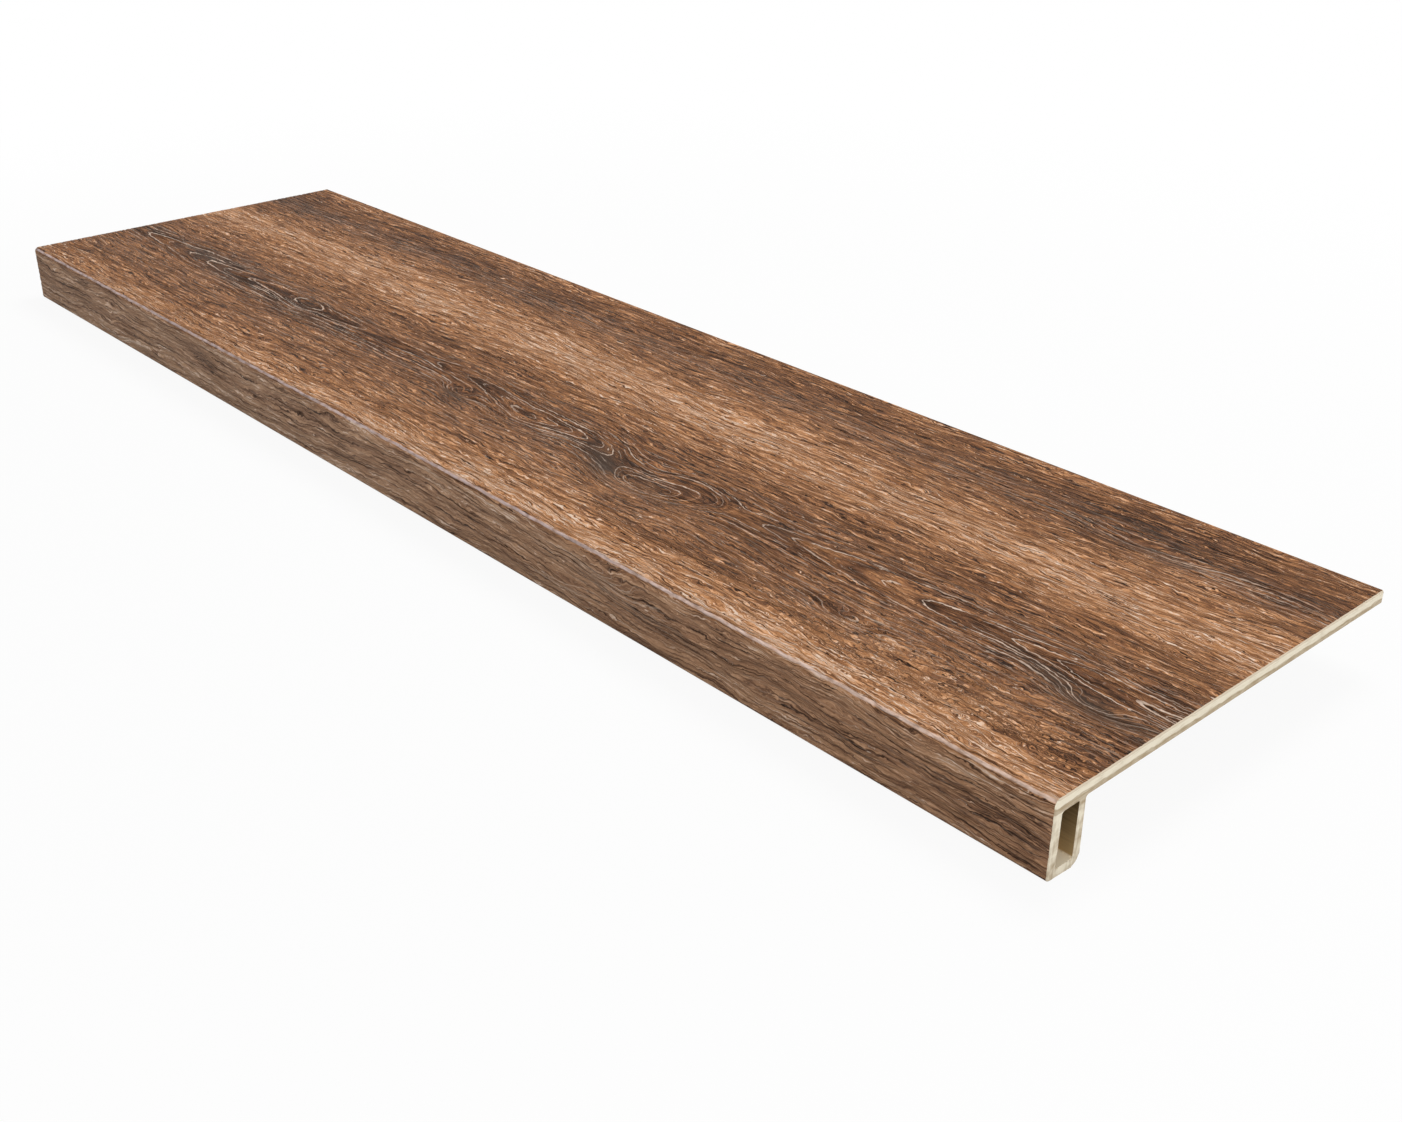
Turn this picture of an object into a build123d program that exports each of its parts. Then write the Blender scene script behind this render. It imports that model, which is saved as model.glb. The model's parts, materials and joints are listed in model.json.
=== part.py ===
from build123d import *
import os

# Stair tread: one fired piece, a flat slab with a hollow box nosing along its front edge.
# Millimetres. X runs along the tread, Y from the front edge to the back, Z up.
# The origin is in the middle of the footprint, level with the underside of the nosing.

# Slab
tread_length = 1200
tread_depth = 320
slab_thickness = 9

# Box nosing
nosing_height = 50
nosing_width = 26
front_wall = 6
back_wall = 6
bottom_wall = 6

# Outer corners of the section
arris_radius = 4
front_foot_radius = 3
back_foot_radius = 6
root_radius = 1.2
back_edge_radius = 1.2

# Corners of the hollow, where the inner one behind the arris is the widest
hollow_arris_radius = 2
hollow_corner_radius = 0.8

# The sawn ends are eased with a fine chamfer
end_chamfer = 0.8

# Levels and positions that follow from the sizes
front_y = -tread_depth / 2
back_y = tread_depth / 2
nosing_back_y = front_y + nosing_width
slab_under_z = nosing_height - slab_thickness
hollow_front_y = front_y + front_wall
hollow_back_y = nosing_back_y - back_wall


def round_corner(sketch, corner, radius):
    """Round the vertex of a section that lies at a corner."""
    fillet(sketch.vertices().sort_by_distance(corner)[0], radius)


with BuildPart() as stair_tread:
    with BuildSketch(Plane.YZ.offset(-tread_length / 2)) as section:
        with BuildLine():
            Polyline(
                (front_y, 0),
                (nosing_back_y, 0),
                (nosing_back_y, slab_under_z),
                (back_y, slab_under_z),
                (back_y, nosing_height),
                (front_y, nosing_height),
                close=True,
            )
        make_face()
        round_corner(section, (front_y, nosing_height), arris_radius)
        round_corner(section, (front_y, 0), front_foot_radius)
        round_corner(section, (nosing_back_y, 0), back_foot_radius)
        round_corner(section, (nosing_back_y, slab_under_z), root_radius)
        round_corner(section, (back_y, nosing_height), back_edge_radius)
        round_corner(section, (back_y, slab_under_z), back_edge_radius)
    extrude(amount=tread_length)

    with BuildSketch(Plane.YZ.offset(-tread_length / 2)) as hollow:
        with BuildLine():
            Polyline(
                (hollow_front_y, bottom_wall),
                (hollow_back_y, bottom_wall),
                (hollow_back_y, slab_under_z),
                (hollow_front_y, slab_under_z),
                close=True,
            )
        make_face()
        round_corner(hollow, (hollow_front_y, slab_under_z), hollow_arris_radius)
        round_corner(hollow, (hollow_back_y, slab_under_z), hollow_corner_radius)
        round_corner(hollow, (hollow_back_y, bottom_wall), hollow_corner_radius)
        round_corner(hollow, (hollow_front_y, bottom_wall), hollow_corner_radius)
    extrude(amount=tread_length, mode=Mode.SUBTRACT)

    sawn_ends = stair_tread.faces().filter_by(Axis.X)
    for end in sawn_ends:
        chamfer(end.outer_wire().edges(), end_chamfer)

stair_tread.part.label = "stair_tread"

os.makedirs("parts", exist_ok=True)
export_step(stair_tread.part, "parts/stair_tread.step")
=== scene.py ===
import json
import math
from collections import namedtuple

import bmesh
import bpy
from bpy.props import FloatProperty, FloatVectorProperty, PointerProperty
from mathutils import Matrix, Vector, noise


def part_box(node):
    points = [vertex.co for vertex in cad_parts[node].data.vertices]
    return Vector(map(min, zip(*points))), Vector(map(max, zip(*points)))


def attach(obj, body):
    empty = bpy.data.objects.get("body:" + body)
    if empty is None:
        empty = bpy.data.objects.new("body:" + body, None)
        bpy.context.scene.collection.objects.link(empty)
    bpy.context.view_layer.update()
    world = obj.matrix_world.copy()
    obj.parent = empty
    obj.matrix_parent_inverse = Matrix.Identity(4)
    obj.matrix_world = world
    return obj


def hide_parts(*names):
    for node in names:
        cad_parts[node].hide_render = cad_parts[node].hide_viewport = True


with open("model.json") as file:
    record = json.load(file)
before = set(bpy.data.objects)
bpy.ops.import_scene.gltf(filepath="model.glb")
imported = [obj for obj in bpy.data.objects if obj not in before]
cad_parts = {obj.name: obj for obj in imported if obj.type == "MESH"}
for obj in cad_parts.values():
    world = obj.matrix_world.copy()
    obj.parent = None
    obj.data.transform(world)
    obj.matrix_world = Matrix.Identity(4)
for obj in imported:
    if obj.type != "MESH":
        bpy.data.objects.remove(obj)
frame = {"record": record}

bl_info = {
    "name": "Wood-look stair tread",
    "version": (1, 0, 0),
    "blender": (4, 5, 0),
    "location": "3D View > Sidebar > Stair tread",
    "description": "Models and finishes a hollow-nosed porcelain stair tread with a wood-look glaze",
    "category": "Object",
}

MM = 0.001
TURN = 2 * math.pi
TOLERANCE = 0.01 * MM

# The share of a face's normal that points one way, over which the face counts as turned that way
SQUARE_ON = 0.5
LEANING = 0.3
BARELY_LEANING = 0.1

# Edges sharper than this stay sharp, and the materials stand in this order on the mesh
SHARP_FROM = math.radians(38)
GLAZE, BODY, BORE = range(3)

# The solid gives the outer sizes, and its resting faces give the slab and the nosing
NODE = "stair_tread"
LOW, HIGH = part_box(NODE)
MOUNTS = {mount["name"]: Vector(mount["pos_m"]) for mount in frame["record"]["mounts"]}
UNDERSIDE = MOUNTS["bed_face"].z
NOSING_BACK = MOUNTS["riser_face"].y

Hollow = namedtuple("Hollow", "front back floor")

# The figure of the wood, in millimetres: along from the left end, across from the front edge, and
# below zero down the front face. A blob fades out over its reach along and its half width across,
# and slants by its rise over one reach. A band runs the whole length of the board.
Eye = namedtuple("Eye", "along depth slope lean")
Sway = namedtuple("Sway", "along across size phase")
Blob = namedtuple("Blob", "along across reach half rise lift")
Band = namedtuple("Band", "across half lift")

# The growth rings are circles round the pith, which runs along the board under its face. At an eye it
# comes up nearest, to its depth, and goes down again by its slope; a lean makes one side go down faster.
PITH = 109
EYE_TIP = 0.5
EYE_BLEND = 4.0
EYE_STEEPNESS = 0.012

EYES = (
    Eye(316, 6.2, 0.046, 0.0),
    Eye(318, 1.6, 0.23, 0.0),
    Eye(648, 4.6, 0.080, 0.022),
    Eye(797, 4.2, 0.27, 0.0),
    Eye(1235, 3.0, 0.052, 0.0),
)

# Bends move the pith sideways
BENDS = (
    Blob(540, 110, 70, 40, 0, -6),
    Blob(640, 100, 55, 40, 0, 9),
    Blob(785, 90, 50, 34, 0, 26),
    Blob(1180, 100, 60, 40, 0, 4),
)

# Slow waves of the whole grain
SWAYS = (
    Sway(930, 900, 3.0, 0.4),
    Sway(410, 170, 2.0, 2.1),
    Sway(173, -74, 1.1, 4.4),
    Sway(83, 41, 0.6, 1.2),
    Sway(37, -23, 0.3, 5.3),
)

# Knots push the rings aside, and the fibres by a share of that. The last four are on the front face.
FIBRE_SHARE = 0.4

KNOTS = (
    Blob(572, 88, 17, 7, 0, 16),
    Blob(1010, 57, 30, 9, 0, 13),
    Blob(1083, 261, 40, 8, -3, 9),
    Blob(1160, 84, 24, 8, -2, 11),
    Blob(455, -31, 62, 9, 4, 10),
    Blob(850, -14, 56, 8, -5, 11),
    Blob(792, -40, 40, 7, 4, 9),
    Blob(975, -27, 44, 8, -3, 8),
)

# Light and dark of the board, over the middle tone: bands along it, then single places
MIDDLE_TONE = 0.45

BANDS = (
    Band(320, 14, 0.06),
    Band(280, 27, -0.12),
    Band(197, 36, 0.23),
    Band(108, 28, -0.11),
    Band(8, 22, 0.20),
    Band(-24, 11, -0.05),
    Band(-42, 9, 0.06),
)

SMUDGES = (
    Blob(40, 262, 80, 18, 0, -0.14),
    Blob(55, 230, 80, 12, 0, -0.14),
    Blob(150, 268, 130, 13, 0, -0.05),
    Blob(345, 231, 80, 6, 0, 0.13),
    Blob(450, 262, 60, 16, 0, -0.05),
    Blob(640, 216, 150, 14, 0, 0.07),
    Blob(130, 172, 70, 14, 0, -0.09),
    Blob(480, 178, 70, 24, 0, -0.08),
    Blob(30, 145, 60, 10, 0, 0.07),
    Blob(830, 148, 70, 7, 0, 0.09),
    Blob(60, 112, 90, 14, 0, -0.10),
    Blob(160, 107, 70, 14, 0, -0.08),
    Blob(330, 94, 120, 16, 0, -0.13),
    Blob(270, 101, 60, 6, 0, -0.14),
    Blob(470, 146, 60, 10, 0, -0.08),
    Blob(560, 152, 80, 6, 0, -0.09),
    Blob(574, 84, 28, 9, 0, -0.10),
    Blob(745, 91, 40, 14, -9, -0.10),
    Blob(850, 117, 80, 5, 0, -0.10),
    Blob(905, 92, 50, 14, 0, -0.08),
    Blob(925, 150, 40, 5, 0, -0.18),
    Blob(930, 105, 22, 5, 0, -0.12),
    Blob(968, 107, 26, 6, 0, 0.10),
    Blob(1040, 149, 34, 5, 0, -0.08),
    Blob(1050, 107, 50, 6, 0, 0.15),
    Blob(1140, 90, 60, 13, -4, -0.10),
    Blob(1142, 108, 34, 7, 0, 0.16),
    Blob(1190, 122, 30, 9, 0, -0.10),
    Blob(993, 55, 22, 6, 0, -0.12),
    Blob(1090, 50, 60, 12, 0, 0.16),
    Blob(960, 28, 200, 8, 0, 0.08),
    Blob(812, 20, 30, 6, 0, -0.12),
    Blob(1186, 46, 30, 20, 0, -0.14),
    Blob(1070, 256, 90, 9, 0, -0.10),
    Blob(1020, 225, 60, 6, 0, -0.08),
    Blob(700, 45, 60, 12, 0, 0.07),
    Blob(1100, 276, 120, 12, 0, -0.09),
    Blob(660, 30, 130, 22, 0, 0.06),
    Blob(960, 10, 300, 12, 0, 0.12),
    Blob(200, 30, 220, 26, 0, -0.05),
    Blob(-10, 12, 70, 20, 0, -0.08),
    Blob(200, -39, 500, 11, 0, 0.12),
    Blob(1150, -12, 150, 12, 0, -0.09),
    Blob(1190, -38, 90, 14, 0, -0.10),
    Blob(760, -40, 60, 10, 0, -0.08),
)

# Where the fibres curl
CURLS = (
    Blob(1080, 45, 110, 26, 0, 0.9),
    Blob(620, 76, 50, 12, 0, 0.5),
    Blob(812, 55, 40, 10, 0, 0.4),
    Blob(90, 60, 60, 14, 0, 0.4),
)

# Smooth dark pools beside the eyes and knots
STAINS = (
    Blob(140, 108, 40, 12, 0, 0.65),
    Blob(200, 99, 60, 4, -3, 0.35),
    Blob(318, 109, 9, 3, 0, 0.5),
    Blob(330, 92, 60, 4, -2, 0.3),
    Blob(574, 84, 14, 5, 0, 0.5),
    Blob(741, 93, 27, 12, -10, 0.9),
    Blob(757, 84, 16, 6, 0, 0.4),
    Blob(797, 86, 14, 7, 0, 0.4),
    Blob(905, 110, 20, 7, 0, 0.3),
    Blob(1122, 92, 28, 6, -8, 0.55),
    Blob(1165, 84, 32, 7, -2, 0.65),
)

# Heartwood, where rings show and hold lime
HEARTWOOD = (
    Band(106, 20, 1.0),
    Band(264, 16, 0.35),
    Band(60, 16, 0.25),
    Band(-26, 18, 0.15),
)

# Where more lime shows in the rings, and less where the lift is below zero
FIGURED = (
    Blob(130, 108, 150, 8, 0, 0.12),
    Blob(318, 109, 20, 6, 0, -0.14),
    Blob(370, 108, 60, 7, 0, 0.06),
    Blob(638, 103, 24, 5, 0, -0.20),
    Blob(680, 103, 46, 12, 0, 0.12),
    Blob(797, 86, 24, 11, 0, 0.16),
    Blob(797, 86, 12, 6, 0, -0.26),
    Blob(1000, 108, 70, 8, 0, 0.06),
    Blob(1130, 98, 70, 18, 0, 0.08),
    Blob(1012, 60, 40, 12, 0, 0.10),
    Blob(1120, 262, 60, 8, 0, 0.08),
    Blob(862, -16, 50, 9, -6, 0.10),
    Blob(800, -38, 40, 8, 5, 0.10),
)

# Growth rings: the width of one in the relief, and those of the thin and the broad lines of lime. Each
# set is uneven over a cycle of some rings.
RING = 2.7
THIN_LIME = 1.7
BROAD_LIME = 4.3
RING_CYCLE = 2.7
RING_UNEVENNESS = 0.9

# Parts of the brushed relief, as shares of the deepest pit
MEAN_PIT = 0.16
GROOVE_PIT = 1.1
FIBRE_PIT = 0.12
SWELL_PIT = 0.16
RING_PIT = 0.10


def srgb(red, green, blue):
    """An 8-bit screen colour as the linear colour that Blender works with."""
    def linear(value):
        value /= 255
        return value / 12.92 if value <= 0.04045 else ((value + 0.055) / 1.055) ** 2.4
    return (linear(red), linear(green), linear(blue), 1.0)


def length_property(name, description, default):
    return FloatProperty(name=name, description=description, default=default, unit="LENGTH", precision=5)


def colour_property(name, description, default):
    return FloatVectorProperty(
        name=name, description=description, default=srgb(*default), subtype="COLOR", size=4, min=0, max=1
    )


def share_property(name, description, default):
    return FloatProperty(name=name, description=description, default=default, min=0, precision=3)


def power_property(name, description, default):
    return FloatProperty(name=name, description=description, default=default, unit="POWER")


class TreadSizes(bpy.types.PropertyGroup):
    """Sizes of the section and of the relief pressed into its face."""

    front_wall: length_property("Front wall", "Thickness of the nosing's front wall", 6 * MM)
    back_wall: length_property("Back wall", "Thickness of the nosing's back wall", 6 * MM)
    bottom_wall: length_property("Bottom wall", "Thickness of the nosing's bottom", 6 * MM)
    arris: length_property("Front edge radius", "Rounding where the foot lands", 4 * MM)
    front_foot: length_property("Front foot radius", "Rounding at the bottom of the front face", 3 * MM)
    back_foot: length_property("Back foot radius", "Rounding at the bottom of the nosing's back", 6 * MM)
    root: length_property("Root radius", "Rounding between the slab and the nosing's back", 1.2 * MM)
    back_edge: length_property("Back edge radius", "Rounding along the slab's back edge", 1.2 * MM)
    hollow_arris: length_property("Hollow arris radius", "Widest corner inside the nosing", 2 * MM)
    hollow_corner: length_property("Hollow corner radius", "Other corners inside the nosing", 0.8 * MM)
    end_chamfer: length_property("End chamfer", "Easing of the sawn ends", 0.8 * MM)
    relief: length_property("Relief depth", "Deepest pit of the brushed face", 0.5 * MM)
    cell_along: length_property("Cell along", "Length of a relief cell", 6 * MM)
    cell_across: length_property("Cell across", "Width of a relief cell", 0.8 * MM)
    key_pitch: length_property("Key pitch", "Distance between the ribs of the underside", 12 * MM)
    key_depth: length_property("Key depth", "Depth between the ribs of the underside", 0.4 * MM)
    key_margin: length_property("Key margin", "Plain border round the ribs", 9 * MM)


class WoodLook(bpy.types.PropertyGroup):
    """Colours of the wood-look glaze, from the darkest pores to the lime in the grain, and its contrasts."""

    pore: colour_property("Pores", "Darkest lines", (40, 24, 14))
    dark: colour_property("Heartwood", "Dark figure", (70, 46, 30))
    brown: colour_property("Brown", "Between heartwood and oak", (112, 75, 52))
    oak: colour_property("Oak", "Middle of the grain", (143, 97, 63))
    tan: colour_property("Tan", "Light bands", (178, 126, 84))
    straw: colour_property("Straw", "Lightest fibres", (215, 164, 123))
    lime: colour_property("Lime", "Pale lines along the rings", (220, 196, 176))
    stain: colour_property("Stain", "Smooth dark pools beside the knots", (74, 59, 49))
    # Pale front edge: partly glaze rubbed thin, partly a painted highlight along the rounded edge
    rub_and_highlight: colour_property("Rubbed edge and highlight", "Glaze thinned over the front edge", (216, 194, 190))
    # The painted highlight on the front edge, brighter towards the right end
    edge_highlight: colour_property("Edge highlight", "The rubbed edge towards the right end", (246, 216, 198))
    # Colours of the front face, paler and greyer than the top's: a painted sheen of the pale floor on it
    sheened_front_dark: colour_property("Dark ash", "Dark lines of the greyer front face", (74, 54, 42))
    sheened_front: colour_property("Ash", "Middle of the front face", (133, 102, 81))
    sheened_front_light: colour_property("Light ash", "Light fibres of the front face", (186, 149, 119))
    clouds: share_property("Clouds", "Contrast of the broad cloudy tone", 0.16)
    rings: share_property("Rings", "Contrast of the growth rings in the heartwood", 1.0)
    stripes: share_property("Stripes", "Contrast of the wide strands", 0.65)
    fibres: share_property("Fibres", "Contrast of the fine strands", 1.8)
    dashes: share_property("Dashes", "Lift of the short pale strands", 0.36)
    furrows: share_property("Furrows", "Darkness of the brushed furrows", 0.38)
    seams: share_property("Seams", "Darkness of the long lines on the front face", 0.34)
    lime_cover: share_property("Lime cover", "How much the lime hides", 0.88)
    bump: length_property("Bump", "Height of the finest strands", 0.45 * MM)
    gloss: share_property("Gloss", "Specular level of the glaze", 0.036)


class PorcelainBody(bpy.types.PropertyGroup):
    """Colours of the bare fired body."""

    cream: colour_property("Cream", "Fired body", (236, 226, 204))
    biscuit: colour_property("Biscuit", "Duller streaks of the body", (172, 152, 122))
    skin: colour_property("Skin", "Eased edge of the sawn end", (196, 180, 158))
    bore: colour_property("Bore", "Inside of the nosing", (190, 160, 114))
    # Painted shade at the top of the hollow
    bore_shade: colour_property("Bore shade", "Darkest part of the inside", (88, 68, 38))
    # Painted light on the floor of the hollow
    lit_bore_floor: colour_property("Lit bore floor", "Bottom of the hollow, where slip has run", (255, 240, 210))


class StageSettings(bpy.types.PropertyGroup):
    """Camera and lights."""

    camera_place: FloatVectorProperty(
        name="Camera place", description="Where the camera stands", default=(0.9673, -0.7294, 0.522),
        subtype="TRANSLATION", unit="LENGTH",
    )
    camera_turn: FloatVectorProperty(
        name="Camera turn", description="Which way the camera looks", subtype="EULER",
        default=tuple(math.radians(a) for a in (62.409, -0.321, 47.703)),
    )
    lens: FloatProperty(name="Lens", description="Focal length in millimetres", default=42.64)
    key_power: power_property("Key light", "Power of the large soft light", 52)
    front_power: power_property("Front light", "Power of the light in front", 7)
    end_power: power_property("End light", "Power of the light at the end", 14)
    sky: FloatProperty(name="Sky", description="Strength of the even light from all round", default=0.45)


class Signal:
    """A shader value in Python arithmetic: each operation adds its Math node."""

    def __init__(self, graph, socket):
        self.graph = graph
        self.socket = socket

    def math(self, operation, *values, clamp=False):
        return self.graph.node(
            "ShaderNodeMath", {"operation": operation, "use_clamp": clamp}, dict(enumerate((self, *values)))
        )

    def __add__(self, other):
        return self.math("ADD", other)

    def __sub__(self, other):
        return self.math("SUBTRACT", other)

    def __rsub__(self, other):
        return (-self).math("ADD", other)

    def __mul__(self, other):
        return self.math("MULTIPLY", other)

    def __truediv__(self, other):
        return self.math("DIVIDE", other)

    def __neg__(self):
        return self.math("MULTIPLY", -1.0)

    __radd__ = __add__
    __rmul__ = __mul__

    def clamped(self):
        return self.math("ADD", 0.0, clamp=True)

    def step(self, low, high):
        """0 below low and 1 above high, smooth between; high may be the lower one."""
        return self.graph.node(
            "ShaderNodeMapRange", {"interpolation_type": "SMOOTHSTEP"},
            {"Value": self, "From Min": low, "From Max": high},
        )


class Graph:
    """The node tree of one material or world."""

    def __init__(self, owner):
        owner.use_nodes = True
        self.tree = owner.node_tree
        self.tree.nodes.clear()

    def node(self, kind, settings=None, inputs=None, output=0):
        """Adds a node: its settings first, then the values or links of its sockets."""
        made = self.tree.nodes.new(kind)
        for name, value in (settings or {}).items():
            setattr(made, name, value)
        for name, value in (inputs or {}).items():
            if isinstance(value, Signal):
                self.tree.links.new(value.socket, made.inputs[name])
            else:
                made.inputs[name].default_value = value
        return Signal(self, made.outputs[output])

    def place(self):
        """Object coordinates as three numbers."""
        point = self.node("ShaderNodeTexCoord", output="Object")
        split = self.node("ShaderNodeSeparateXYZ", inputs={"Vector": point})
        return [Signal(self, socket) for socket in split.socket.node.outputs]

    def shown_ray(self):
        """1 for a ray that shows the background: from the camera, or by way of gloss or glass."""
        path = self.node("ShaderNodeLightPath").socket.node.outputs
        kinds = ("Is Camera Ray", "Is Glossy Ray", "Is Transmission Ray")
        return sum(Signal(self, path[kind]) for kind in kinds).clamped()

    def grain(self, along, across, length, width, start=0, detail=2, roughness=0.5):
        """Noise from 0 to 1 in cells of a length and a width; another start gives unlike noise."""
        cell = along / length
        if start:
            cell = cell + start
        point = self.node("ShaderNodeCombineXYZ", inputs={"X": cell, "Y": across / width})
        return self.node(
            "ShaderNodeTexNoise", {"noise_dimensions": "2D"},
            {"Vector": point, "Scale": 1.0, "Detail": detail, "Roughness": roughness},
        )

    def swing(self, along, across, **recipe):
        """The same noise about zero, from -0.5 to 0.5."""
        return self.grain(along, across, **recipe) - 0.5

    def mix(self, amount, first, second):
        """A colour between two colours."""
        made = self.node("ShaderNodeMix", {"data_type": "RGBA"}, {"Factor": amount}, output="Result")
        sockets = [s for s in made.socket.node.inputs if s.type == "RGBA"]
        for socket, value in zip(sockets, (first, second)):
            if isinstance(value, Signal):
                self.tree.links.new(value.socket, socket)
            else:
                socket.default_value = value
        colours = [s for s in made.socket.node.outputs if s.type == "RGBA"]
        return Signal(self, colours[0])

    def palette(self, amount, stops):
        """A colour ramp over (position, colour) stops."""
        ramp = self.node("ShaderNodeValToRGB", inputs={"Fac": amount})
        elements = ramp.socket.node.color_ramp.elements
        for index, (position, colour) in enumerate(stops):
            element = elements[index] if index < len(elements) else elements.new(position)
            element.position = position
            element.color = colour
        return ramp

    def finish(self, shader, kind="ShaderNodeOutputMaterial"):
        """Links the last shader to the output."""
        output = self.tree.nodes.new(kind)
        self.tree.links.new(shader.socket, output.inputs["Surface"])


# These work on plain numbers for the relief and on shader values for the colour
def wave(value):
    return value.math("SINE") if isinstance(value, Signal) else math.sin(value)


def fade(value):
    return value.math("EXPONENT") if isinstance(value, Signal) else math.exp(value)


def root(value):
    return value.math("SQRT") if isinstance(value, Signal) else math.sqrt(value)


def below_limit(value, limit):
    """1 where a value is below a limit and 0 elsewhere."""
    return value.math("LESS_THAN", limit) if isinstance(value, Signal) else float(value < limit)


def unrolled(y, z, sizes):
    """How far a point of the glazed skin lies behind the front edge; below zero down the front face."""
    round_the_foot = below_limit(z, LOW.z + sizes.front_foot)
    return ((y - LOW.y) * (1 - round_the_foot * 2) + (z - HIGH.z)) / MM


def nearer(first, second, blend):
    """The smaller of two values, with a rounded change from one to the other."""
    if isinstance(first, Signal):
        return first.math("SMOOTH_MIN", second, blend)
    overlap = max(blend - abs(first - second), 0) / blend
    return min(first, second) - overlap ** 3 * blend / 6


def offsets(along, across, spot):
    """How far out of a soft spot a point lies: 1 at its reach and 1 at its half width."""
    u = (along - spot.along) / spot.reach
    return u, (across - spot.across - u * spot.rise) / spot.half


def blobs(along, across, spots):
    """Soft spots of the figure, added up."""
    total = 0.0
    for spot in spots:
        u, v = offsets(along, across, spot)
        total = fade(-(u * u + v * v)) * spot.lift + total
    return total


def bands(across, rows):
    """Stripes that run the whole length of the board, added up."""
    total = 0.0
    for row in rows:
        v = (across - row.across) / row.half
        total = fade(-(v * v)) * row.lift + total
    return total


def grain_lines(along, across):
    """How far beside the pith a fibre and a ring run, and how much closer the rings lie there."""
    for sway in SWAYS:
        angle = along * (TURN / sway.along) + across * (TURN / sway.across) + sway.phase
        across = across + wave(angle) * sway.size
    push = 0.0
    crowd = 1.0
    for spot in (*BENDS, *KNOTS):
        u, v = offsets(along, across, spot)
        part = fade(-(u * u + v * v)) * spot.lift
        push = part + push
        crowd = part * v * (-2 / spot.half) + crowd
    side = across - PITH
    return side + push * FIBRE_SHARE, side + push, crowd


def pith_depth(along):
    """How deep the pith lies under the face."""
    depth = None
    for eye in EYES:
        u = (along - eye.along) * eye.slope
        tent = root(u * u + EYE_TIP ** 2) + (along - eye.along) * eye.lean + eye.depth
        depth = nearer(depth, tent, EYE_BLEND) if depth is not None else tent
    return depth


def pith_distance(side, depth):
    """How far from the pith a point of the face lies, where the growth rings lie at even distances."""
    return root(side * side + depth * depth)


def ring_crest(distance, width, turned=0.0):
    """Growth rings of uneven width, from -1 to 1."""
    uneven = wave(distance * (TURN / (width * RING_CYCLE))) * RING_UNEVENNESS
    return wave(distance * (TURN / width) + uneven + turned)


def smudged_tone(along, across):
    """Broad light and dark of the board, 0 to 1."""
    return blobs(along, across, SMUDGES) + bands(across, BANDS) + MIDDLE_TONE


def relief_share(along, across):
    """Depth of the brushed relief as a share of the deepest pit."""
    thread, side, _ = grain_lines(along, across)
    heart = bands(across, HEARTWOOD)
    ring = ring_crest(pith_distance(side, pith_depth(along)), RING)
    streak = noise.noise((along / 34, thread / 3.0, 0.0))
    fibre = noise.noise((along / 15, thread / 2.1, 7.0))
    swell = noise.noise((along / 90, across / 14, 3.0))
    groove = max(0.0, -streak - 0.35 * fibre)
    share = MEAN_PIT + GROOVE_PIT * groove - FIBRE_PIT * fibre + SWELL_PIT * swell - RING_PIT * heart * ring
    return min(1.0, max(0.0, share))


def edges_between(bm, test):
    """Edges whose two ends both pass a test."""
    return [edge for edge in bm.edges if all(test(vert.co) for vert in edge.verts)]


def corner_edges(bm, y, z):
    """Edges that run along the tread at one corner of its section."""
    return edges_between(bm, lambda co: abs(co.y - y) < TOLERANCE and abs(co.z - z) < TOLERANCE)


def round_corner(bm, y, z, radius, segments):
    """Rounds one corner of the section, all along the tread."""
    bmesh.ops.bevel(
        bm, geom=corner_edges(bm, y, z), offset=radius, offset_type="OFFSET", segments=segments,
        profile=0.5, affect="EDGES", material=-1,
    )


def extrude_down(bm, low_y, high_y, start_z, drop):
    """Pulls the downward face between two lines of the section further down."""
    faces = [
        face for face in bm.faces
        if -face.normal.z > SQUARE_ON and low_y < face.calc_center_median().y < high_y
        and abs(face.calc_center_median().z - start_z) < TOLERANCE
    ]
    pulled = bmesh.ops.extrude_face_region(bm, geom=faces)
    left_inside = [face for face in faces if face.is_valid]
    bmesh.ops.delete(bm, geom=left_inside, context="FACES_ONLY")
    verts = [item for item in pulled["geom"] if isinstance(item, bmesh.types.BMVert)]
    bmesh.ops.translate(bm, verts=verts, vec=(0, 0, -drop))
    bm.normal_update()


def model_section(bm, sizes):
    """A box cut at the nosing's lines, two walls pulled down from it and a bottom bridged between them."""
    centre = Vector(((LOW.x + HIGH.x) / 2, (LOW.y + HIGH.y) / 2, (UNDERSIDE + HIGH.z) / 2))
    extent = (HIGH.x - LOW.x, HIGH.y - LOW.y, HIGH.z - UNDERSIDE, 1)
    bmesh.ops.create_cube(bm, size=1, matrix=Matrix.Translation(centre) @ Matrix.Diagonal(extent))
    hollow = Hollow(LOW.y + sizes.front_wall, NOSING_BACK - sizes.back_wall, LOW.z + sizes.bottom_wall)
    for y in (hollow.front, hollow.back, NOSING_BACK):
        bmesh.ops.bisect_plane(
            bm, geom=bm.verts[:] + bm.edges[:] + bm.faces[:], plane_co=(0, y, 0), plane_no=(0, 1, 0)
        )
    bm.normal_update()
    for low_y, high_y in ((LOW.y, hollow.front), (hollow.back, NOSING_BACK)):
        extrude_down(bm, low_y, high_y, UNDERSIDE, UNDERSIDE - hollow.floor)
        extrude_down(bm, low_y, high_y, hollow.floor, sizes.bottom_wall)
    facing = [
        face for face in bm.faces
        if abs(face.normal.y) > SQUARE_ON and face.calc_center_median().z < hollow.floor
        and hollow.front - TOLERANCE < face.calc_center_median().y < hollow.back + TOLERANCE
    ]
    loops = [edge for face in facing for edge in face.edges]
    bmesh.ops.delete(bm, geom=facing, context="FACES_ONLY")
    bmesh.ops.bridge_loops(bm, edges=loops)
    bmesh.ops.recalc_face_normals(bm, faces=bm.faces[:])
    return hollow


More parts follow.
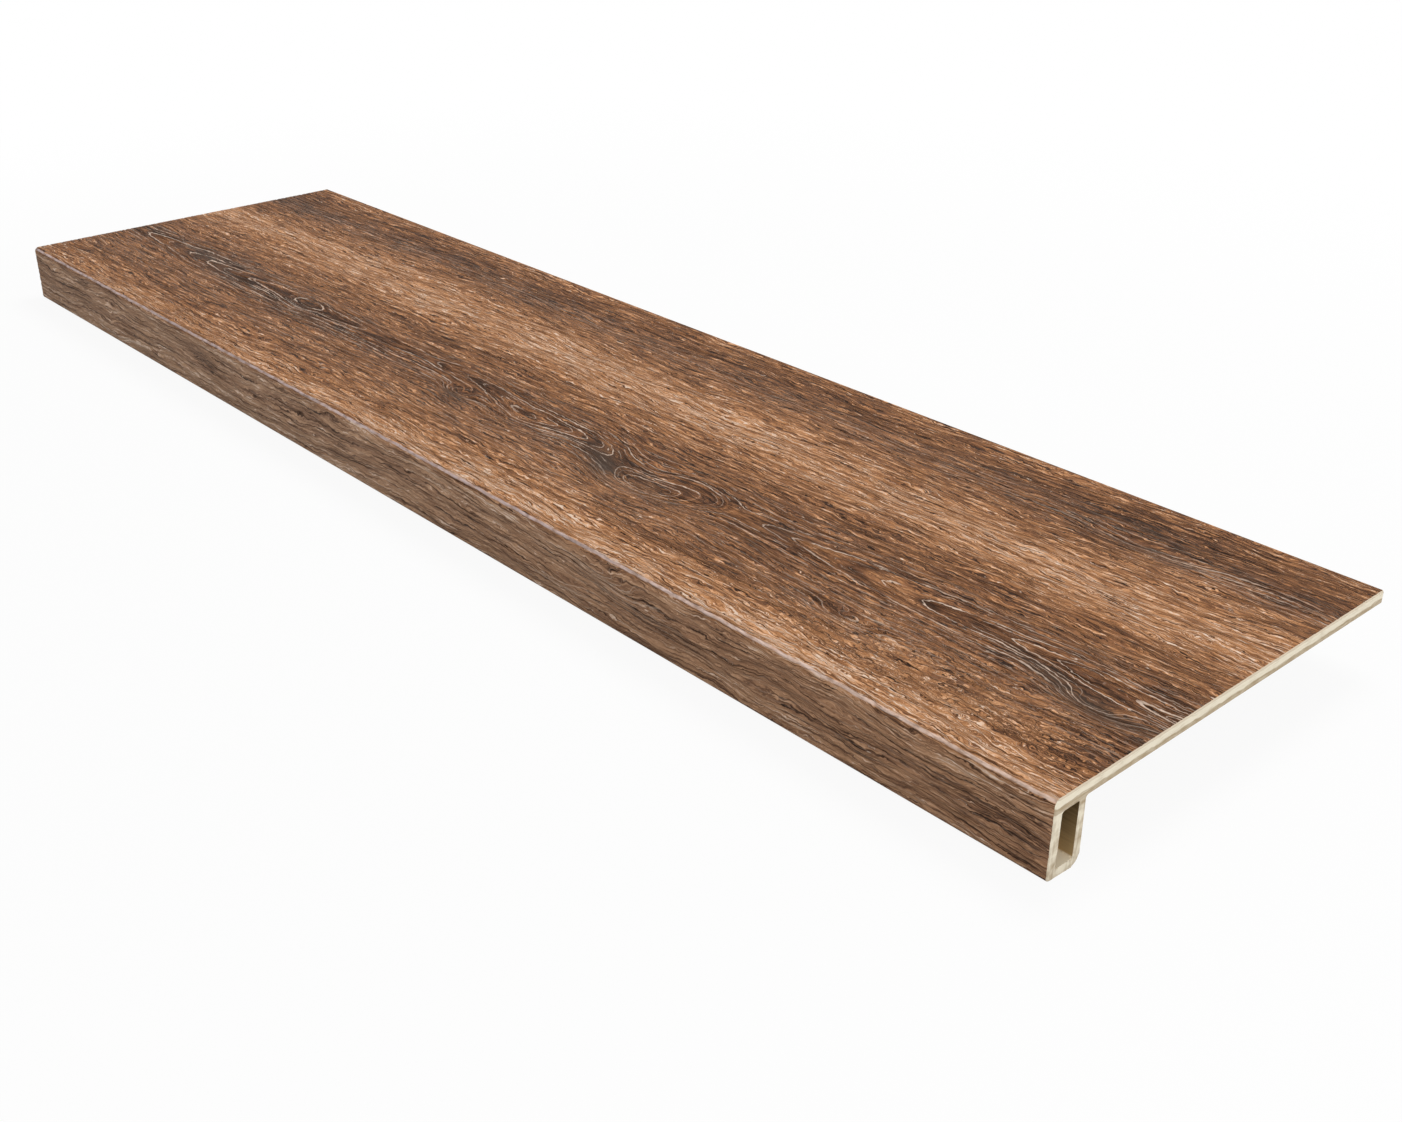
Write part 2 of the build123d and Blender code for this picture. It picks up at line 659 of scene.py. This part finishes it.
def round_section(bm, sizes, hollow):
    """Rounds the corners of the section, outside and inside the nosing."""
    round_corner(bm, LOW.y, HIGH.z, sizes.arris, 8)
    round_corner(bm, LOW.y, LOW.z, sizes.front_foot, 5)
    round_corner(bm, NOSING_BACK, LOW.z, sizes.back_foot, 8)
    round_corner(bm, NOSING_BACK, UNDERSIDE, sizes.root, 3)
    round_corner(bm, HIGH.y, HIGH.z, sizes.back_edge, 3)
    round_corner(bm, HIGH.y, UNDERSIDE, sizes.back_edge, 3)
    round_corner(bm, hollow.front, UNDERSIDE, sizes.hollow_arris, 4)
    for y, z in ((hollow.back, UNDERSIDE), (hollow.back, hollow.floor), (hollow.front, hollow.floor)):
        round_corner(bm, y, z, sizes.hollow_corner, 2)


def within_hollow(co, hollow):
    """True from wall to wall and from floor to ceiling of the nosing's hollow."""
    return (hollow.front - TOLERANCE < co.y < hollow.back + TOLERANCE
            and hollow.floor - TOLERANCE < co.z < UNDERSIDE + TOLERANCE)


def ease_ends(bm, sizes, hollow):
    """Chamfers the outer rim of both sawn ends and leaves the rim of the hollow sharp."""
    rim = []
    for edge in bm.edges:
        at_end = [abs(face.normal.x) > SQUARE_ON for face in edge.link_faces]
        if at_end.count(True) == 1 and not all(within_hollow(vert.co, hollow) for vert in edge.verts):
            rim.append(edge)
    bmesh.ops.bevel(
        bm, geom=rim, offset=sizes.end_chamfer, offset_type="OFFSET", segments=1,
        profile=0.5, affect="EDGES", material=-1,
    )


def is_glazed(face, sizes):
    """The top, the front edge and the front face down to the foot carry the wood look."""
    if abs(face.normal.x) > LEANING:
        return False
    centre = face.calc_center_median()
    on_top = centre.z > HIGH.z - sizes.back_edge and face.normal.z > LEANING
    in_front = -face.normal.y > BARELY_LEANING and centre.y < LOW.y + sizes.arris
    return on_top or in_front


def is_inside(face, hollow):
    """The four walls of the hollow and their corners."""
    return abs(face.normal.x) < LEANING and within_hollow(face.calc_center_median(), hollow)


def finish_of(face, sizes, hollow):
    """Which of the tread's three materials a face has."""
    if is_glazed(face, sizes):
        return GLAZE
    return BORE if is_inside(face, hollow) else BODY


def on_skin(faces):
    """True where one of the faces is glazed."""
    return any(face.material_index == GLAZE for face in faces)


def cut_cells(bm, sizes):
    """Cuts the glazed skin into cells: long ones along the grain, narrow ones across it."""
    tread_length = HIGH.x - LOW.x
    long_edges = [
        edge for edge in bm.edges if on_skin(edge.link_faces) and edge.calc_length() > tread_length / 2
    ]
    columns = round(tread_length / sizes.cell_along)
    bmesh.ops.subdivide_edges(bm, edges=long_edges, cuts=columns - 1, use_grid_fill=True)

    def is_rim(co):
        return co.z > HIGH.z - sizes.end_chamfer - TOLERANCE or co.y < LOW.y + sizes.end_chamfer + TOLERANCE

    widths = {}
    for edge in edges_between(bm, is_rim):
        span = edge.verts[0].co - edge.verts[1].co
        if abs(span.x) < TOLERANCE and (abs(span.y) < TOLERANCE or abs(span.z) < TOLERANCE):
            rows = round(edge.calc_length() / sizes.cell_across)
            if rows > 1:
                widths.setdefault(rows, []).append(edge)
    for rows, edges in sorted(widths.items()):
        bmesh.ops.subdivide_edges(bm, edges=edges, cuts=rows - 1, use_grid_fill=True)


def press_relief(bm, sizes):
    """Presses the brushed grain into the glazed skin and keeps each depth for the glaze to read."""
    pit = bm.verts.layers.float.new("pit")
    bm.normal_update()
    shifts = []
    for vert in (vert for vert in bm.verts if on_skin(vert.link_faces)):
        along = (vert.co.x - LOW.x) / MM
        across = unrolled(vert.co.y, vert.co.z, sizes)
        share = relief_share(along, across)
        vert[pit] = share
        border = min(HIGH.y - sizes.back_edge - vert.co.y, vert.co.z - LOW.z - sizes.front_foot)
        keep = min(1.0, max(0.0, border / MM))
        normal = Vector((0, vert.normal.y, vert.normal.z)).normalized()
        shifts.append((vert, normal * (-share * keep * sizes.relief)))
    for vert, shift in shifts:
        vert.co += shift


def key_underside(bm, sizes):
    """Grooves for the adhesive, pressed up into the slab inside a plain border of its underside."""
    bed = [
        face for face in bm.faces
        if -face.normal.z > SQUARE_ON and abs(face.calc_center_median().z - UNDERSIDE) < TOLERANCE
        and face.calc_center_median().y > NOSING_BACK
    ]
    bmesh.ops.inset_region(bm, faces=bed, thickness=sizes.key_margin, use_even_offset=True, use_boundary=True)
    short = [edge for edge in bed[0].edges if abs(edge.verts[0].co.x - edge.verts[1].co.x) < TOLERANCE]
    grooves = round(short[0].calc_length() / sizes.key_pitch)
    cut = bmesh.ops.subdivide_edges(bm, edges=short, cuts=2 * grooves, use_grid_fill=True)["geom_inner"]
    edges = [item for item in cut if isinstance(item, bmesh.types.BMEdge)]
    strips = {face for edge in edges for face in edge.link_faces}
    in_order = sorted(strips, key=lambda face: face.calc_center_median().y)
    bmesh.ops.inset_individual(
        bm, faces=in_order[1::2], thickness=sizes.key_depth, depth=-sizes.key_depth, use_even_offset=True
    )


class TREAD_OT_model_tread(bpy.types.Operator):
    """Model the tread, press its relief and give it its glaze and body"""

    bl_idname = "tread.model_tread"
    bl_label = "Stair tread"

    def execute(self, context):
        sizes = context.scene.tread_sizes
        bm = bmesh.new()
        hollow = model_section(bm, sizes)
        round_section(bm, sizes, hollow)
        ease_ends(bm, sizes, hollow)
        bm.normal_update()
        for face in bm.faces:
            face.material_index = finish_of(face, sizes, hollow)
            face.smooth = True
        cut_cells(bm, sizes)
        press_relief(bm, sizes)
        key_underside(bm, sizes)
        mesh = bpy.data.meshes.new("porcelain_tread")
        bm.to_mesh(mesh)
        bm.free()
        mesh.set_sharp_from_angle(angle=SHARP_FROM)
        look = context.scene.wood_look
        body = context.scene.porcelain_body
        for material in (wood_look_glaze(look, sizes), bare_porcelain(body), hollow_bore(body)):
            mesh.materials.append(material)
        tread = bpy.data.objects.new("porcelain_tread", mesh)
        context.scene.collection.objects.link(tread)
        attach(tread, "root")
        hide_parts(NODE)
        return {"FINISHED"}


def wood_look_glaze(look, sizes):
    """Glaze printed and pressed as brushed oak, with lime left in the rings of the heartwood."""
    material = bpy.data.materials.new("wood_look_glaze")
    graph = Graph(material)
    x, y, z = graph.place()
    along = (x - LOW.x) / MM
    across = unrolled(y, z, sizes)
    pit = graph.node("ShaderNodeAttribute", {"attribute_name": "pit"}, output="Fac")

    # Front is 1 down the front face, and heart is 1 in the heartwood
    front = across.step(1, -7)
    cloud = graph.swing(along, across, length=190, width=42, detail=3)
    heart = bands(across + cloud * 14, HEARTWOOD)

    # Fibres run along the board, and the rings close round the eyes of the pith. Steep says how fast the
    # rings pass by under the face.
    thread, side, crowd = grain_lines(along, across)
    depth = pith_depth(along)
    line = pith_distance(side, depth)
    steep = (side * side * crowd * crowd + depth * depth * EYE_STEEPNESS) / (line * line) + 0.01
    steep = steep.math("MINIMUM", 1.5)
    drift = graph.swing(along, thread, length=60, width=12, detail=1) * 6
    wiggle = graph.swing(along, thread, length=8, width=3) * (blobs(along, across, CURLS) * 6 + 3.2)
    crinkle = graph.swing(along, side, length=5, width=1.8, detail=1)
    ring = line + (wiggle * 0.5 + crinkle * 1.4) * root(steep)
    thread = thread + drift + wiggle

    # Brushed strands of several widths, each slipped along the board from its neighbours
    slip = graph.swing(along, thread, length=300, width=1.7, detail=0) * 110 + along
    stripe = graph.swing(slip, thread, length=120, width=3.6, roughness=0.6)
    fibre = graph.swing(slip, thread, length=16, width=1.7, roughness=0.65)
    rings = graph.swing(along, ring, length=60, width=1.6, roughness=0.6)
    furrow = graph.grain(slip, thread, length=26, width=1.4, start=20).step(0.42, 0.32)
    dash = graph.grain(slip, thread, length=11, width=1.2, start=60, detail=1).step(0.64, 0.74)
    fleck = graph.grain(slip, thread, length=9, width=1.2, start=90, detail=1).step(0.76, 0.81)
    seam = graph.grain(slip, thread, length=60, width=1.8, start=40, detail=1).step(0.44, 0.32)

    # The broad tone, then the strands, which are quieter in the heartwood and down the front face
    tone = smudged_tone(along, across + cloud * 24) + cloud * look.clouds + rings * heart * look.rings
    tone = tone + stripe * (look.stripes - heart * 0.35 + front * 0.2)
    strands = fibre * look.fibres + dash * look.dashes - furrow * look.furrows
    tone = tone + strands * (1 - heart * 0.3 - front * 0.42)
    # Down the front face the tone is lifted, part of the painted sheen there, and the seams darken it
    tone = tone + across.step(-1, -8) * 0.21 - seam * front * look.seams
    tone = (tone - pit * 0.06).clamped()
    colour = graph.palette(tone, (
        (0.0, look.pore), (0.15, look.dark), (0.36, look.brown), (0.50, look.oak),
        (0.68, look.tan), (0.85, look.straw), (1.0, look.lime),
    ))
    # The same grain in the paler, greyer colours of the front face, a painted sheen of the pale floor,
    # strongest towards the left end
    sheened_front = graph.palette(tone, (
        (0.0, look.pore), (0.2, look.sheened_front_dark), (0.5, look.sheened_front), (0.85, look.sheened_front_light), (1.0, look.lime),
    ))
    colour = graph.mix(front * (along.step(1250, 350) * 0.35 + 0.65), colour, sheened_front)
    colour = graph.mix(blobs(along, across + cloud * 14, STAINS).clamped(), colour, look.stain)

    # Lime in the rings: steep keeps a line as narrow where they lie far apart, and gaps break it off
    thin = ring_crest(ring, THIN_LIME).step(1 - steep * 0.5, 1 - steep * 0.15)
    broad = ring_crest(ring, BROAD_LIME, -0.98).step(1 - steep * 0.3, 1 - steep * 0.1)
    gaps = graph.grain(along, line, length=32, width=2.2)
    shown = blobs(along, across, FIGURED)
    lime = thin * (gaps + shown).step(0.50, 0.62) * 0.75 + broad * (gaps - shown).step(0.58, 0.46)
    lime = (lime * (heart + shown * 4) + fleck * 0.8).clamped()
    colour = graph.mix(lime * look.lime_cover, colour, look.lime)

    # The front edge is painted pale: partly glaze rubbed thin, partly a painted highlight along the rounded
    # edge, brighter towards the right end and stronger in some places than in others
    edge = across + graph.swing(along, 0.0, length=14, width=1) * 2
    rub_and_highlight = edge.step(1.6, 0.4) * edge.step(-2.4, -1.2)
    patchiness = graph.grain(along, 0.0, length=9, width=1, start=30).step(0.3, 0.6)
    rub_and_highlight_tint = graph.mix(along.step(700, 1200), look.rub_and_highlight, look.edge_highlight)
    colour = graph.mix(rub_and_highlight * (patchiness * 0.5 + 0.45), colour, rub_and_highlight_tint)

    roughness = 0.46 + pit * 0.2 - rub_and_highlight * 0.15
    height = fibre * 1.8 + stripe * 0.8 - furrow * 0.4 + dash * 0.2 + lime * 0.5
    bump = graph.node("ShaderNodeBump", inputs={"Strength": 1.0, "Distance": look.bump, "Height": height})
    graph.finish(graph.node("ShaderNodeBsdfPrincipled", inputs={
        "Base Color": colour, "Roughness": roughness, "Normal": bump, "IOR": 1.5,
        "Specular IOR Level": look.gloss,
    }))
    return material


def hollow_bore(body):
    """The raw inside of the nosing, with painted shade that darkens it towards the top and painted light on
    its floor.
    """
    material = bpy.data.materials.new("hollow_bore")
    graph = Graph(material)
    x, y, z = graph.place()
    below = (HIGH.z - z) / MM
    streak = graph.swing(x, y + z, length=40 * MM, width=1.5 * MM, detail=3)
    # Painted shade: darker towards the top of the hollow, with streaks
    share = ((below - 8) / 36 + streak * 0.5).clamped()
    colour = graph.mix(share, body.bore_shade, body.bore)
    # Painted light: a pale floor at the bottom of the hollow
    colour = graph.mix(below.step(42.6, 43.6), colour, body.lit_bore_floor)
    graph.finish(graph.node("ShaderNodeBsdfPrincipled", inputs={
        "Base Color": colour, "Roughness": 0.8, "Specular IOR Level": 0.1,
    }))
    return material


def bare_porcelain(body):
    """The fired body: cream near the face and duller below, with the streaks of the extrusion."""
    material = bpy.data.materials.new("bare_porcelain")
    graph = Graph(material)
    x, y, z = graph.place()
    across = (y - LOW.y) / MM
    below = (HIGH.z - z) / MM
    waver = graph.swing(across, below, length=9, width=4) * 2.4
    streak = graph.swing(across, below + waver, length=14, width=0.9)
    upright = graph.swing(across, below, length=1.6, width=16, detail=1)
    patch = graph.swing(across, below, length=7, width=7)
    in_nosing = below.step(8.5, 9.5)
    slab = (below + waver).step(4.3, 5.4) * 0.85 + streak * 0.9 + patch * 0.5
    walls = upright * 0.9 + patch * 2.0 + 0.42
    dull = (slab * (1 - in_nosing) + walls * in_nosing).clamped()
    colour = graph.mix(dull, body.cream, body.biscuit)
    eased = below.step(1.15, 0.85)
    colour = graph.mix(eased * 0.8, colour, body.skin)
    graph.finish(graph.node("ShaderNodeBsdfPrincipled", inputs={
        "Base Color": colour, "Roughness": 0.6, "Specular IOR Level": 0.14,
    }))
    return material


def softbox(name, place, size, power, aim=(0, 0, 0)):
    """A square soft light that points at a place on the tread."""
    lamp = bpy.data.lights.new(name, type="AREA")
    lamp.shape = "SQUARE"
    lamp.size = size
    lamp.energy = power
    light = bpy.data.objects.new(name, lamp)
    light.location = place
    light.rotation_euler = (Vector(aim) - Vector(place)).to_track_quat("-Z", "Y").to_euler()
    bpy.context.scene.collection.objects.link(light)


def pale_floor():
    """Pale and matt, and white to the camera but for the tread's shadow, which ends further out."""
    material = bpy.data.materials.new("pale_floor")
    graph = Graph(material)
    x, y, z = graph.place()
    further = root(x * x + y * y).step(0.5, 1.3)
    matt = graph.node("ShaderNodeBsdfDiffuse", inputs={"Color": (0.7, 0.7, 0.7, 1)})
    white = graph.node("ShaderNodeEmission", inputs={"Color": (1, 1, 1, 1), "Strength": 1.0})
    graph.finish(graph.node("ShaderNodeMixShader", inputs={
        0: graph.shown_ray() * (0.92 + further * 0.08), 1: matt, 2: white,
    }))
    return material


class TREAD_OT_set_stage(bpy.types.Operator):
    """Lay the floor, hang the lights and set the camera"""

    bl_idname = "tread.set_stage"
    bl_label = "Stage"

    def execute(self, context):
        stage = context.scene.tread_stage
        bm = bmesh.new()
        bmesh.ops.create_grid(bm, x_segments=1, y_segments=1, size=9)
        bmesh.ops.translate(bm, verts=bm.verts, vec=(0, 0, LOW.z))
        mesh = bpy.data.meshes.new("floor")
        bm.to_mesh(mesh)
        bm.free()
        mesh.materials.append(pale_floor())
        floor = bpy.data.objects.new("floor", mesh)
        context.scene.collection.objects.link(floor)

        softbox("key_light", place=(-0.2, 1.3, 2.5), size=1.2, power=stage.key_power)
        softbox("front_light", place=(0.2, -2.2, 0.7), size=1.6, power=stage.front_power)
        softbox("end_light", place=(2.2, -0.3, 0.9), size=1.0, power=stage.end_power, aim=(0.5, 0, 0))

        world = bpy.data.worlds.new("studio")
        context.scene.world = world
        graph = Graph(world)
        sky = graph.node("ShaderNodeBackground", inputs={"Color": (1, 1, 1, 1), "Strength": stage.sky})
        white = graph.node("ShaderNodeBackground", inputs={"Color": (1, 1, 1, 1), "Strength": 1.0})
        graph.finish(
            graph.node("ShaderNodeMixShader", inputs={0: graph.shown_ray(), 1: sky, 2: white}),
            "ShaderNodeOutputWorld",
        )

        camera = bpy.data.cameras.new("camera")
        camera.lens = stage.lens
        camera.sensor_width = 36
        viewpoint = bpy.data.objects.new("camera", camera)
        viewpoint.location = stage.camera_place
        viewpoint.rotation_euler = stage.camera_turn
        context.scene.collection.objects.link(viewpoint)
        context.scene.camera = viewpoint
        context.scene.view_settings.view_transform = "Standard"
        return {"FINISHED"}


class TREAD_PT_panel(bpy.types.Panel):
    """Sizes, colours and steps of the tread"""

    bl_idname = "TREAD_PT_panel"
    bl_label = "Stair tread"
    bl_space_type = "VIEW_3D"
    bl_region_type = "UI"
    bl_category = "Stair tread"

    def draw(self, context):
        for group in PROPERTIES:
            values = getattr(context.scene, group)
            for name in values.__annotations__:
                self.layout.prop(values, name)
        for step in STEPS:
            self.layout.operator(step.bl_idname)


PROPERTIES = {
    "tread_sizes": TreadSizes,
    "wood_look": WoodLook,
    "porcelain_body": PorcelainBody,
    "tread_stage": StageSettings,
}
STEPS = (TREAD_OT_model_tread, TREAD_OT_set_stage)
CLASSES = (*PROPERTIES.values(), *STEPS, TREAD_PT_panel)


def register():
    for cls in CLASSES:
        bpy.utils.register_class(cls)
    for name, group in PROPERTIES.items():
        setattr(bpy.types.Scene, name, PointerProperty(type=group))


def unregister():
    for name in PROPERTIES:
        delattr(bpy.types.Scene, name)
    for cls in reversed(CLASSES):
        bpy.utils.unregister_class(cls)


def main():
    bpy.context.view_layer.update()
    register()
    bpy.ops.tread.model_tread()
    bpy.ops.tread.set_stage()


if __name__ == "__main__":
    main()
